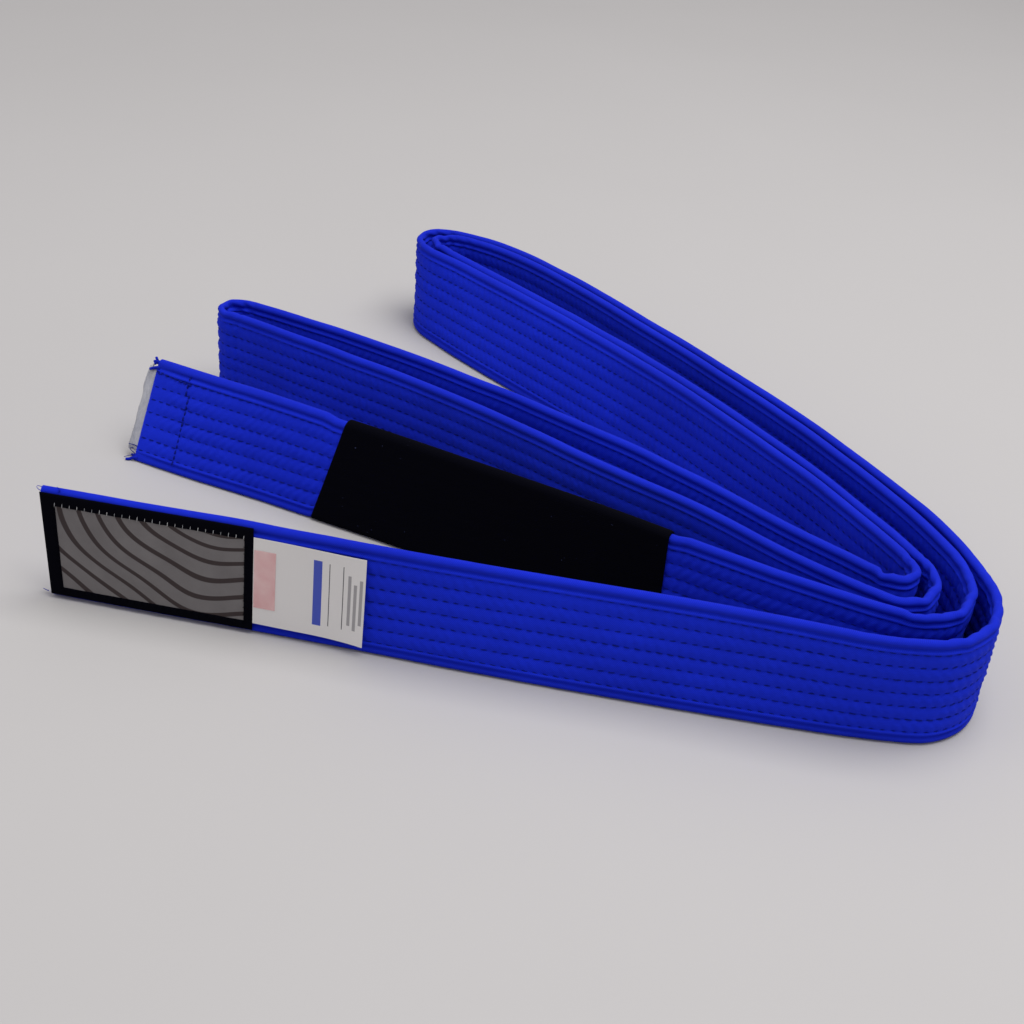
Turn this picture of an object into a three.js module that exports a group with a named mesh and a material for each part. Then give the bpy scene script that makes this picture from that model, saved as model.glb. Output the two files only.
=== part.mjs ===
// Martial arts belt, folded in half three times, standing on its edge and fanned out.
// Millimetres, +Z up, +X along the label run towards the nested folds.
// The route is the line that the belt's top edge follows, from the label end to the raw end.
import * as THREE from 'three';

// Belt
const BELT_WIDTH = 41.5;
const BELT_THICKNESS = 3.8;
const FACE_WALL = 0.8;
const HEM_WALL = 3;
const CORE_CLEARANCE = 0.4;
const CORE_OVERHANG = 4.5;

// Gaps between the solids
const PIECE_GAP = 0.4;
const HINGE_GAP = 3.6;
const FAR_HINGE_GAP = 5.6;

// Black rank bar round the bar run
const BAR_WALL = 0.7;
const BAR_CLEARANCE = 0.3;
const BAR_FROM_RAW_END = 86;
const BAR_LENGTH = 138;

// Label, care tag and size sticker on the label run
const LABEL_LENGTH = 75;
const LABEL_LOW = 1.5;
const LABEL_HIGH = 40.5;
const BORDER_LEFT = 5;
const BORDER_RIGHT = 3;
const BORDER_BOTTOM = 3;
const BORDER_TOP = 5.5;
const BORDER_THICKNESS = 0.7;
const LABEL_THICKNESS = 0.45;
const TRIM_GAP = 0.3;
const TAG_LENGTH = 39;
const TAG_LOW = 4.5;
const TAG_HIGH = 37.5;
const TAG_THICKNESS = 0.3;
const STICKER_LENGTH = 8;
const STICKER_LOW = 11;
const STICKER_HIGH = 33;
const STICKER_INSET = 0.5;
const STICKER_THICKNESS = 0.2;

// Spacing of the sections along the belt
const RUN_STEP = 10;
const FOLD_STEP = 4;

// Middle of the whole belt's outline, which becomes the origin
const MIDDLE = new THREE.Vector2(-4, -1.4);

// Each stretch: its route points [x, y, lean], ending where the next one starts, and the gap in
// front of it where it hinges. Lean is how far the top edge stands to the left of the bottom edge,
// looking along the route.
const STRETCHES = [
  {
    name: 'label_run',
    route: [
      [-157.2, -138.4, 2.5], [-120, -138, 3], [-84, -137.8, 3], [-45, -139, 2],
      [-5, -139, 2.5], [35, -138.3, 3], [75, -138, 2.5],
    ],
  },
  {
    name: 'fold_outer',
    gap: HINGE_GAP,
    fold: true,
    route: [
      [106, -139.3, 0], [120, -139.8, -1.5], [132, -138.5, -1.5], [144.3, -135.2, -1],
      [153, -128, -0.5], [158, -119, -0.5], [159.7, -109.5, -0.5], [158.9, -100, -0.5],
      [156.5, -91.5, 0], [153, -83, 0],
    ],
  },
  {
    name: 'back_run',
    gap: FAR_HINGE_GAP,
    route: [
      [148.3, -73, 0], [138.5, -56.2, 0], [118.3, -29.6, 0], [98.4, -5.5, 0],
      [79.1, 15.1, 0], [58.6, 35.1, 0], [38.7, 54.6, 0], [18.4, 73.2, 0],
      [-0.9, 91.1, 0], [-20.8, 108, 0], [-40.7, 122.9, 0], [-60, 133.5, 0],
    ],
  },
  {
    name: 'far_fold_outer',
    fold: true,
    route: [
      [-75.2, 138, 0], [-85.2, 138.8, -1.5], [-92.1, 135.7, -3.5], [-95, 128.3, -3.5],
      [-92.6, 120.8, 0.5], [-85.1, 113.6, 5.5],
    ],
  },
  {
    name: 'far_front_run',
    route: [
      [-69.3, 104.8, 10], [-49.6, 91.5, 12], [-29.8, 76.5, 12],
      [-9.9, 60.3, 11], [15, 38.8, 9], [35, 20.5, 7], [54.9, 0.6, 5],
      [74.6, -20.5, 3], [92, -39.2, 1], [103.8, -53, 0], [114.9, -67.1, 0],
      [122.6, -77, 0],
    ],
  },
  {
    name: 'fold_inner',
    gap: FAR_HINGE_GAP,
    fold: true,
    route: [
      [129, -86, 0], [132, -91.5, 0], [133.3, -97, 0], [130.6, -101.9, 0],
      [125.4, -102.3, 0], [118.4, -98.6, 0],
    ],
  },
  {
    name: 'middle_back_run',
    gap: HINGE_GAP,
    route: [
      [109.4, -93, 0], [89.9, -81.4, -1], [70, -67.6, -1.5], [50.1, -54.7, -2],
      [30.2, -42.8, -2], [0.4, -27.7, -2], [-20.5, -16.9, -2], [-40.4, -8.6, -2],
      [-60.1, 0.4, -2], [-79.9, 7.9, -1.5], [-99.8, 14.9, -1], [-114.4, 19.1, -0.5],
    ],
  },
  {
    name: 'middle_fold',
    fold: true,
    route: [
      [-134.7, 25, 0], [-146, 27.2, 0], [-152.6, 24.8, 0], [-153.2, 19.6, 0],
      [-149.3, 15.4, 0],
    ],
  },
  {
    name: 'middle_front_run',
    route: [
      [-142.5, 13.2, 0], [-127, 7.8, 1], [-113.7, 2.6, 2], [-99.2, -2.6, 2.5],
      [-87.2, -7.5, 3], [-69.3, -14.1, 3], [-49.4, -22.7, 3], [-29.5, -31.9, 3],
      [-9.6, -42.3, 3], [10.3, -53.7, 2.5], [30.2, -64.1, 2], [50.1, -73.6, 1.5],
      [70, -85, 1], [89.9, -98, 0],
    ],
  },
  {
    name: 'fold_third',
    gap: HINGE_GAP,
    fold: true,
    route: [
      [106, -106.4, 0], [119.7, -112.9, 0], [128.7, -115.8, 0], [136.8, -111.7, 0],
      [139.9, -104, 0], [139.2, -95.5, 0], [136.8, -89.8, 0],
    ],
  },
  {
    name: 'far_inner_front_run',
    gap: FAR_HINGE_GAP,
    route: [
      [133, -84.3, 0], [126.2, -74.3, 0], [118.3, -64.2, 0], [108, -50.9, 0],
      [97.6, -38.3, 0], [87.6, -27, -1], [78.3, -17, -3], [58.5, 4, -5],
      [38.6, 23.8, -7], [18.7, 42, -9], [-1.1, 59.3, -11], [-18.3, 73.6, -12],
      [-35.6, 87, -12], [-49.6, 97.4, -12],
    ],
  },
  {
    name: 'far_fold_inner',
    fold: true,
    route: [
      [-65.3, 108.3, -10], [-77, 115.8, -6], [-84.5, 122.2, -0.5], [-87.6, 128, 3],
      [-84.2, 132.6, 2],
    ],
  },
  {
    name: 'far_inner_back_run',
    route: [
      [-75.2, 133, 0], [-61.8, 128.9, 0], [-43.3, 119, 0], [-23.9, 104.5, 0],
      [-4.2, 87.7, 0], [15.2, 69.7, 0], [35.4, 51, 0], [55.5, 31, 0],
      [76, 10.7, 0], [95, -10, 0], [115.3, -34.5, 0], [132, -56.4, 0],
    ],
  },
  {
    name: 'fold_second',
    gap: FAR_HINGE_GAP,
    fold: true,
    route: [
      [142.4, -73.2, 0], [147.4, -82.8, 0], [150.6, -91.5, 1.5], [151.8, -101.5, 2.5],
      [150, -111.5, 3], [144.5, -119.4, 3], [135.6, -123, 2], [123.7, -121.4, 0],
    ],
  },
  {
    name: 'bar_run',
    gap: HINGE_GAP,
    route: [
      [109.8, -118.1, -1], [89.9, -112.3, -2], [70, -105.9, -3], [54, -100, -4],
      [20, -87.5, -6], [-20, -74.5, -8], [-60, -61.5, -10], [-84, -54, -11.5],
      [-110, -45, -14], [-135, -37, -16.5], [-160, -29, -18],
    ],
  },
];

// ---- The route as one curve, measured along its length ----

const routePoints = STRETCHES.flatMap((stretch) => stretch.route)
  .map(([x, y, lean]) => new THREE.Vector3(x - MIDDLE.x, y - MIDDLE.y, lean));
const routeCurve = new THREE.CatmullRomCurve3(routePoints, false, 'centripetal');
routeCurve.arcLengthDivisions = routePoints.length * 12;
const routeLengths = routeCurve.getLengths();
const routeLength = routeLengths.at(-1);

// Distance along the route of one of its points
function distanceOfPoint(index) {
  const division = (index / (routePoints.length - 1)) * (routeLengths.length - 1);
  return routeLengths[Math.round(division)];
}

// The belt's section at a distance along the route
function stationAt(distance, pinch = 0) {
  const share = THREE.MathUtils.clamp(distance / routeLength, 0, 1);
  const point = routeCurve.getPointAt(share);
  const tangent = routeCurve.getTangentAt(share).setZ(0).normalize();
  const left = new THREE.Vector2(-tangent.y, tangent.x);
  const height = Math.sqrt(BELT_WIDTH ** 2 - point.z ** 2);
  return { point, left, height, pinch };
}

// A place on a station: across the belt to the left, and up its width
function placeOn(station, across, up) {
  const middle = BELT_WIDTH / 2;
  const pinched = middle + (up - middle) * (1 - station.pinch / middle);
  const share = pinched / BELT_WIDTH;
  const sideways = across + station.point.z * (share - 1);
  return new THREE.Vector3(
    station.point.x + station.left.x * sideways,
    station.point.y + station.left.y * sideways,
    station.height * share,
  );
}

// ---- Solids ----

// Sweeps a section, drawn as (across, up), through a list of stations
function sweep(section, stations) {
  const steps = stations.length - 1;
  const geometry = new THREE.ExtrudeGeometry(section, { steps, depth: steps, bevelEnabled: false });
  const position = geometry.attributes.position;
  for (let i = 0; i < position.count; i += 1) {
    const station = stations[Math.round(position.getZ(i))];
    const place = placeOn(station, position.getX(i), position.getY(i));
    position.setXYZ(i, place.x, place.y, place.z);
  }
  geometry.computeVertexNormals();
  return geometry;
}

// Evenly spaced stations between two distances along the route
function stationsBetween(from, to, step, pinch = 0) {
  const count = Math.max(1, Math.round((to - from) / step));
  const stations = [];
  for (let i = 0; i <= count; i += 1) {
    stations.push(stationAt(THREE.MathUtils.lerp(from, to, i / count), pinch));
  }
  return stations;
}

// A rectangle in the section plane, by its sides, with a point halfway up its left and right sides
function rectangle(low, high, bottom, top, Kind = THREE.Shape) {
  const middle = (bottom + top) / 2;
  return new Kind([
    new THREE.Vector2(low, bottom),
    new THREE.Vector2(high, bottom),
    new THREE.Vector2(high, middle),
    new THREE.Vector2(high, top),
    new THREE.Vector2(low, top),
    new THREE.Vector2(low, middle),
  ]);
}

const half = BELT_THICKNESS / 2;

function coverSection() {
  const inside = half - FACE_WALL;
  const section = rectangle(-half, half, 0, BELT_WIDTH);
  section.holes.push(rectangle(-inside, inside, HEM_WALL, BELT_WIDTH - HEM_WALL, THREE.Path));
  return section;
}

function coreSection() {
  const inside = half - FACE_WALL - CORE_CLEARANCE;
  const margin = HEM_WALL + CORE_CLEARANCE;
  return rectangle(-inside, inside, margin, BELT_WIDTH - margin);
}

function barSection() {
  const inside = half + BAR_CLEARANCE;
  const outside = inside + BAR_WALL;
  const section = rectangle(-outside, outside, 0, BELT_WIDTH);
  section.holes.push(rectangle(-inside, inside, BAR_WALL, BELT_WIDTH - BAR_WALL, THREE.Path));
  return section;
}

// Flat trim on the label run's outer face, which is on the right of the route
function trimSection(standoff, thickness, bottom, top) {
  const near = -half - standoff;
  return rectangle(near - thickness, near, bottom, top);
}

// ---- Materials ----

function cloth(colour, roughness) {
  return new THREE.MeshStandardMaterial({ color: colour, roughness, metalness: 0 });
}

const blueCotton = cloth(0x1426b4, 0.85);
const whitePadding = cloth(0xc9cacc, 0.9);
const blackCloth = cloth(0x08080c, 0.95);
const greyWoven = cloth(0x6b6a6b, 0.8);
const whiteSatin = cloth(0xe6e4e4, 0.5);
const palePink = cloth(0xe8c9cc, 0.35);

// ---- Assembly ----

const belt = new THREE.Group();

function add(name, geometry, material) {
  const mesh = new THREE.Mesh(geometry, material);
  mesh.name = name;
  belt.add(mesh);
}

const barEnd = routeLength - BAR_FROM_RAW_END;
const barStart = barEnd - BAR_LENGTH;
const barPinch = BAR_WALL + BAR_CLEARANCE;

// Stations of the cover or the core along one stretch. The bar run is pinched inside the rank bar.
function stretchStations(stretch, from, to, overhang) {
  const step = stretch.fold ? FOLD_STEP : RUN_STEP;
  if (stretch.name !== 'bar_run') {
    return stationsBetween(from, to, step);
  }
  return [
    ...stationsBetween(from, barStart - PIECE_GAP, step),
    ...stationsBetween(barStart, barEnd, step, barPinch),
    ...stationsBetween(barEnd + PIECE_GAP, to, step),
    ...(overhang ? [overhangStation(overhang)] : []),
  ];
}

// The core comes straight out of the raw end
function overhangStation(overhang) {
  const station = stationAt(routeLength);
  const tangent = routeCurve.getTangentAt(1).setZ(0).normalize();
  station.point.addScaledVector(tangent, overhang);
  return station;
}

let firstPoint = 0;
STRETCHES.forEach((stretch, index) => {
  const next = STRETCHES[index + 1];
  const startGap = index > 0 ? (stretch.gap ?? PIECE_GAP) / 2 : 0;
  const endGap = next ? (next.gap ?? PIECE_GAP) / 2 : 0;
  const lastPoint = next ? firstPoint + stretch.route.length : routePoints.length - 1;
  const from = distanceOfPoint(firstPoint) + startGap;
  const to = distanceOfPoint(lastPoint) - endGap;
  const overhang = next ? 0 : CORE_OVERHANG;
  add(`cover_${stretch.name}`, sweep(coverSection(), stretchStations(stretch, from, to, 0)), blueCotton);
  add(`core_${stretch.name}`, sweep(coreSection(), stretchStations(stretch, from, to, overhang)), whitePadding);
  firstPoint = lastPoint;
});

add('rank_bar', sweep(barSection(), stationsBetween(barStart, barEnd, RUN_STEP)), blackCloth);

// The label border is a frame of tape, wider along its top and its outer end
function borderFrame() {
  const low = -half - TRIM_GAP - BORDER_THICKNESS;
  const frame = new THREE.Shape([
    new THREE.Vector2(0, LABEL_LOW),
    new THREE.Vector2(LABEL_LENGTH, LABEL_LOW),
    new THREE.Vector2(LABEL_LENGTH, LABEL_HIGH),
    new THREE.Vector2(0, LABEL_HIGH),
  ]);
  const [near, far] = [BORDER_LEFT, LABEL_LENGTH - BORDER_RIGHT];
  const [bottom, top] = [LABEL_LOW + BORDER_BOTTOM, LABEL_HIGH - BORDER_TOP];
  frame.holes.push(rectangle(near, far, bottom, top, THREE.Path));
  const geometry = new THREE.ExtrudeGeometry(frame, { depth: BORDER_THICKNESS, bevelEnabled: false });
  const position = geometry.attributes.position;
  for (let i = 0; i < position.count; i += 1) {
    const station = stationAt(position.getX(i));
    const across = low + (BORDER_THICKNESS - position.getZ(i));
    const place = placeOn(station, across, position.getY(i));
    position.setXYZ(i, place.x, place.y, place.z);
  }
  geometry.computeVertexNormals();
  return geometry;
}

add('label_border', borderFrame(), blackCloth);

const faceSection = trimSection(TRIM_GAP, LABEL_THICKNESS,
  LABEL_LOW + BORDER_BOTTOM + TRIM_GAP, LABEL_HIGH - BORDER_TOP - TRIM_GAP);
const faceStart = BORDER_LEFT + TRIM_GAP;
const faceEnd = LABEL_LENGTH - BORDER_RIGHT - TRIM_GAP;
add('label_face', sweep(faceSection, [stationAt(faceStart), stationAt(faceEnd)]), greyWoven);

const tagStart = LABEL_LENGTH + PIECE_GAP;
add('care_tag', sweep(trimSection(TRIM_GAP, TAG_THICKNESS, TAG_LOW, TAG_HIGH),
  [stationAt(tagStart), stationAt(tagStart + TAG_LENGTH)]), whiteSatin);

const stickerStart = tagStart + STICKER_INSET;
const stickerStandoff = TRIM_GAP + TAG_THICKNESS + TRIM_GAP;
add('size_sticker',
  sweep(trimSection(stickerStandoff, STICKER_THICKNESS, STICKER_LOW, STICKER_HIGH),
    [stationAt(stickerStart), stationAt(stickerStart + STICKER_LENGTH)]), palePink);

export default belt;
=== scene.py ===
import math

import bpy
import numpy as np
from mathutils import Matrix, Vector


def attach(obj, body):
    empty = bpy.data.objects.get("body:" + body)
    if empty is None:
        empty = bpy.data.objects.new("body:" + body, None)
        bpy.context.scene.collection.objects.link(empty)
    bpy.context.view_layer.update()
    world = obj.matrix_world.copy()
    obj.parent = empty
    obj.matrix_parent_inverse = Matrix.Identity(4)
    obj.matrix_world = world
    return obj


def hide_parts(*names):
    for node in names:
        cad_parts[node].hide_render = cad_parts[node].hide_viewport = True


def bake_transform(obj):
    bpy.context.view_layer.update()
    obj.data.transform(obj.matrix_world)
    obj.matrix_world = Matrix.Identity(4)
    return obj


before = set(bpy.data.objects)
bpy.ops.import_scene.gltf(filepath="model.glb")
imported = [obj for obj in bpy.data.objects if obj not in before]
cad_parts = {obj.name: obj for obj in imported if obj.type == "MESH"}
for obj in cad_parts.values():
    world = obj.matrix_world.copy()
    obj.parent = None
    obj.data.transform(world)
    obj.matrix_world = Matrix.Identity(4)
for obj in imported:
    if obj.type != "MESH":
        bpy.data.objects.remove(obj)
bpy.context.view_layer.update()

# ======== The belt's own sizes, in millimetres ========

MM = 0.001
BELT_WIDTH = 41.5
HEM_HALF = 1.78
ROW_HALF = 1.42
PILLOW_HEIGHT = 0.36
GROOVE_HALF = 0.88
HEM_ROLL = 3.3
PIPING = 1.7
ROWS = 7
STITCH_SPACING = 3.6
STITCH_LENGTH = 2.3
THREAD_WIDTH = 0.56
SECTION_STEP = 0.9
PUCKER_DEPTH = 0.23
STITCH_PULL = 0.17
FLAT_END_LENGTH = 11

PADDING_LOW = 4.3
PADDING_HIGH = 37.2
PADDING_HALF = 0.4
PADDING_SLACK = 0.6
PADDING_TUCK = 4.6
TORN_LOW = 3.6
TORN_HIGH = 37.9

BAR_FROM_RAW_END = 86
BAR_LENGTH = 138
BAR_PINCH = 1.0
BAR_SLANT = 4.0
BAR_EDGE_RADIUS = 2.2
BAR_HALF = 2.42
BAR_INSIDE_HALF = 1.95
CORE_OVERHANG = 4.5
CROSS_ROW_FROM_END = 18

LABEL_LENGTH = 75
LABEL_LOW = 1.5
LABEL_HIGH = 40.6
BORDER_LEFT = 5.2
BORDER_RIGHT = 3.2
BORDER_BOTTOM = 3.4
BORDER_TOP = 4.6
TRIM_FACE = 2.15
END_SLANT = 2.4
TAG_START = 75.2
TAG_LENGTH = 39
TAG_LOW = 4.5
TAG_HIGH = 37.5

# The middle of the folded belt's outline
MIDDLE = (-4, -1.4)

# The line that the top edge follows, [x, y, lean], from the label end to the raw end.
# Lean is how far the top edge stands to the left of the bottom edge.
ROUTE = {
    "label_run": [
        (-157.2, -138.4, 2.5), (-120, -138, 3), (-84, -137.8, 3), (-45, -139, 2),
        (-5, -139, 2.5), (35, -138.3, 3), (75, -138, 2.5)],
    "fold_outer": [
        (106, -139.3, 0), (120, -139.8, -1.5), (132, -138.5, -1.5), (144.3, -135.2, -1),
        (153, -128, -0.5), (158, -119, -0.5), (159.7, -109.5, -0.5), (158.9, -100, -0.5),
        (156.5, -91.5, 0), (153, -83, 0)],
    "back_run": [
        (148.3, -73, 0), (138.5, -56.2, 0), (118.3, -29.6, 0), (98.4, -5.5, 0),
        (79.1, 15.1, 0), (58.6, 35.1, 0), (38.7, 54.6, 0), (18.4, 73.2, 0),
        (-0.9, 91.1, 0), (-20.8, 108, 0), (-40.7, 122.9, 0), (-60, 133.5, 0)],
    "far_fold_outer": [
        (-75.2, 138, 0), (-85.2, 138.8, -1.5), (-92.1, 135.7, -3.5), (-95, 128.3, -3.5),
        (-92.6, 120.8, 0.5), (-85.1, 113.6, 5.5)],
    "far_front_run": [
        (-69.3, 104.8, 10), (-49.6, 91.5, 12), (-29.8, 76.5, 12), (-9.9, 60.3, 11),
        (15, 38.8, 9), (35, 20.5, 7), (54.9, 0.6, 5), (74.6, -20.5, 3),
        (92, -39.2, 1), (103.8, -53, 0), (114.9, -67.1, 0), (122.6, -77, 0)],
    "fold_inner": [
        (129, -86, 0), (132, -91.5, 0), (133.3, -97, 0), (130.6, -101.9, 0),
        (125.4, -102.3, 0), (118.4, -98.6, 0)],
    "middle_back_run": [
        (109.4, -93, 0), (89.9, -81.4, -1), (70, -67.6, -1.5), (50.1, -54.7, -2),
        (30.2, -42.8, -2), (0.4, -27.7, -2), (-20.5, -16.9, -2), (-40.4, -8.6, -2),
        (-60.1, 0.4, -2), (-79.9, 7.9, -1.5), (-99.8, 14.9, -1), (-114.4, 19.1, -0.5)],
    "middle_fold": [
        (-134.7, 25, 0), (-146, 27.2, 0), (-152.6, 24.8, 0), (-153.2, 19.6, 0),
        (-149.3, 15.4, 0)],
    "middle_front_run": [
        (-142.5, 13.2, 0), (-127, 7.8, 1), (-113.7, 2.6, 2), (-99.2, -2.6, 2.5),
        (-87.2, -7.5, 3), (-69.3, -14.1, 3), (-49.4, -22.7, 3), (-29.5, -31.9, 3),
        (-9.6, -42.3, 3), (10.3, -53.7, 2.5), (30.2, -64.1, 2), (50.1, -73.6, 1.5),
        (70, -85, 1), (89.9, -98, 0)],
    "fold_third": [
        (106, -106.4, 0), (119.7, -112.9, 0), (128.7, -115.8, 0), (136.8, -111.7, 0),
        (139.9, -104, 0), (139.2, -95.5, 0), (136.8, -89.8, 0)],
    "far_inner_front_run": [
        (133, -84.3, 0), (126.2, -74.3, 0), (118.3, -64.2, 0), (108, -50.9, 0),
        (97.6, -38.3, 0), (87.6, -27, -1), (78.3, -17, -3), (58.5, 4, -5),
        (38.6, 23.8, -7), (18.7, 42, -9), (-1.1, 59.3, -11), (-18.3, 73.6, -12),
        (-35.6, 87, -12), (-49.6, 97.4, -12)],
    "far_fold_inner": [
        (-65.3, 108.3, -10), (-77, 115.8, -6), (-84.5, 122.2, -0.5), (-87.6, 128, 3),
        (-84.2, 132.6, 2)],
    "far_inner_back_run": [
        (-75.2, 133, 0), (-61.8, 128.9, 0), (-43.3, 119, 0), (-23.9, 104.5, 0),
        (-4.2, 87.7, 0), (15.2, 69.7, 0), (35.4, 51, 0), (55.5, 31, 0),
        (76, 10.7, 0), (95, -10, 0), (115.3, -34.5, 0), (132, -56.4, 0)],
    "fold_second": [
        (142.4, -73.2, 0), (147.4, -82.8, 0), (150.6, -91.5, 1.5), (151.8, -101.5, 2.5),
        (150, -111.5, 3), (144.5, -119.4, 3), (135.6, -123, 2), (123.7, -121.4, 0)],
    "bar_run": [
        (109.8, -118.1, -1), (89.9, -112.3, -2), (70, -105.9, -3), (54, -100, -4),
        (20, -87.5, -6), (-20, -74.5, -8), (-60, -61.5, -10), (-84, -54, -11.5),
        (-110, -45, -14), (-135, -37, -16.5), (-160, -29, -18)],
}


# ======== The belt's line, stepped evenly ========

class BeltLine:
    """The route as one smooth line, read by distance from the label end, in millimetres."""

    def __init__(self, route, step=0.25):
        points = [Vector((x - MIDDLE[0], y - MIDDLE[1], lean))
                  for stretch in route.values() for x, y, lean in stretch]
        ends = [points[0] * 2 - points[1], *points, points[-1] * 2 - points[-2]]
        dense, marks = [], [0]
        for a, b, c, d in zip(ends, ends[1:], ends[2:], ends[3:]):
            dense += [self._between(a, b, c, d, i / 40) for i in range(40)]
            marks.append(len(dense))
        dense.append(tuple(points[-1]))
        dense = np.array(dense)
        walked = np.concatenate([[0], np.cumsum(np.linalg.norm(np.diff(dense[:, :2], axis=0), axis=1))])
        self.length = float(walked[-1])
        self.point_distance = walked[marks]
        self.firsts = dict(zip(route, np.cumsum([0] + [len(p) for p in route.values()])))
        self.at = np.linspace(0, self.length, int(self.length / step) + 1)
        self.table = np.stack([np.interp(self.at, walked, dense[:, k]) for k in range(3)], axis=1)
        along = np.gradient(self.table[:, :2], self.at, axis=0)
        along /= np.linalg.norm(along, axis=1)[:, None]
        heading = np.unwrap(np.arctan2(along[:, 1], along[:, 0]))
        self.along = along
        bend = np.gradient(heading, self.at)
        self.bend = np.convolve(bend, np.ones(9) / 9, mode="same")

    @staticmethod
    def _between(a, b, c, d, share):
        ta, tb, tc = ((q - p).length_squared ** 0.25 or 1 for p, q in ((a, b), (b, c), (c, d)))
        out = ((b - a) / ta - (c - a) / (ta + tb) + (c - b) / tb) * tb
        back = ((c - b) / tb - (d - b) / (tb + tc) + (d - c) / tc) * tb
        s = share
        return tuple(b + out * s + (3 * (c - b) - 2 * out - back) * s ** 2
                     + (2 * (b - c) + out + back) * s ** 3)

    def distance(self, stretch, number=0):
        return float(self.point_distance[self.firsts[stretch] + number])

    def read(self, distances):
        d = np.clip(distances, 0, self.length)
        past = np.asarray(distances, float) - d
        point = np.stack([np.interp(d, self.at, self.table[:, k]) for k in range(2)], axis=-1)
        along = np.stack([np.interp(d, self.at, self.along[:, k]) for k in range(2)], axis=-1)
        along /= np.linalg.norm(along, axis=-1, keepdims=True)
        point = point + along * past[..., None]
        return point, along, np.interp(d, self.at, self.table[:, 2]), np.interp(d, self.at, self.bend)

    def place(self, distance, across, up):
        """Points in metres: along the belt, across it to the left, and up its width."""
        distance, across, up = np.broadcast_arrays(
            *(np.asarray(v, float) for v in (distance, across, up)))
        point, along, lean, _ = self.read(distance)
        share = up / BELT_WIDTH
        sideways = across + lean * (share - 1)
        height = np.sqrt(BELT_WIDTH ** 2 - lean ** 2)
        return MM * np.stack([
            point[..., 0] - along[..., 1] * sideways,
            point[..., 1] + along[..., 0] * sideways,
            height * share], axis=-1)


belt = BeltLine(ROUTE)
BAR_END = belt.length - BAR_FROM_RAW_END
BAR_START = BAR_END - BAR_LENGTH


# ======== Meshes ========

def new_piece(name, vertices, faces, uvs=None, smooth=True, sharp_vertices=None):
    """A mesh object from arrays. uvs holds one pair for each corner of each face."""
    mesh = bpy.data.meshes.new(name)
    mesh.from_pydata(np.asarray(vertices).reshape(-1, 3).tolist(), [], [list(f) for f in faces])
    mesh.polygons.foreach_set("use_smooth", np.full(len(mesh.polygons), smooth))
    if uvs is not None:
        layer = mesh.uv_layers.new(name="cloth")
        layer.data.foreach_set("uv", np.asarray(uvs, np.float32).ravel())
    if sharp_vertices is not None:
        edges = np.zeros(len(mesh.edges) * 2, np.int32)
        mesh.edges.foreach_get("vertices", edges)
        edges = edges.reshape(-1, 2)
        group = np.asarray(sharp_vertices)
        both = (group[edges[:, 0]] > 0) & (group[edges[:, 0]] == group[edges[:, 1]])
        mesh.edges.foreach_set("use_edge_sharp", both)
    mesh.update()
    piece = bpy.data.objects.new(name, mesh)
    bpy.context.scene.collection.objects.link(piece)
    return piece


def tube_faces(rings, around):
    """Quads of a closed section swept through rings, and the corner order that they use."""
    i, j = np.meshgrid(np.arange(rings - 1), np.arange(around), indexing="ij")
    k = (j + 1) % around
    return np.stack([i * around + j, (i + 1) * around + j, (i + 1) * around + k, i * around + k],
                    axis=-1).reshape(-1, 4)


def tube_uvs(along, around_length):
    """Corner UVs in metres for tube_faces. around_length has one value more than the section."""
    a, b = np.asarray(along) * MM, np.asarray(around_length) * MM
    i, j = np.meshgrid(np.arange(len(a) - 1), np.arange(len(b) - 1), indexing="ij")
    corners = [(a[i], b[j]), (a[i + 1], b[j]), (a[i + 1], b[j + 1]), (a[i], b[j + 1])]
    return np.stack([np.stack(c, axis=-1) for c in corners], axis=2).reshape(-1, 2)


def smooth_noise(rng, distances, spacing):
    """Wandering values between -1 and 1, one knot every spacing millimetres."""
    knots = rng.uniform(-1, 1, int(belt.length / spacing) + 4)
    place = np.asarray(distances) / spacing + 1
    cell = np.floor(place).astype(int)
    cell = np.clip(cell, 0, len(knots) - 2)
    t = np.clip(place - cell, 0, 1)
    t = t * t * (3 - 2 * t)
    return knots[cell] * (1 - t) + knots[cell + 1] * t


# ---- The cover's quilted section ----

EDGE_BAND = HEM_ROLL + PIPING
ROW_PITCH = (BELT_WIDTH - 2 * EDGE_BAND) / (ROWS - 1)
ROW_HEIGHTS = [EDGE_BAND + ROW_PITCH * i for i in range(ROWS)]


def face_heights():
    """Heights up one face at which the section has a point, closer where it turns."""
    hem = list(HEM_ROLL * (1 - np.cos(np.linspace(0, math.pi, 9))) / 2)
    piping = [HEM_ROLL + PIPING * f for f in (0.3, 0.55, 0.8)]
    low = hem + piping
    pillows = []
    for row in ROW_HEIGHTS[:-1]:
        pillows += [row + ROW_PITCH * f for f in (0, 0.1, 0.3, 0.5, 0.7, 0.9)]
    return np.array(low + pillows + [ROW_HEIGHTS[-1]] + [BELT_WIDTH - v for v in reversed(low)])


HEIGHTS = face_heights()


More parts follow.
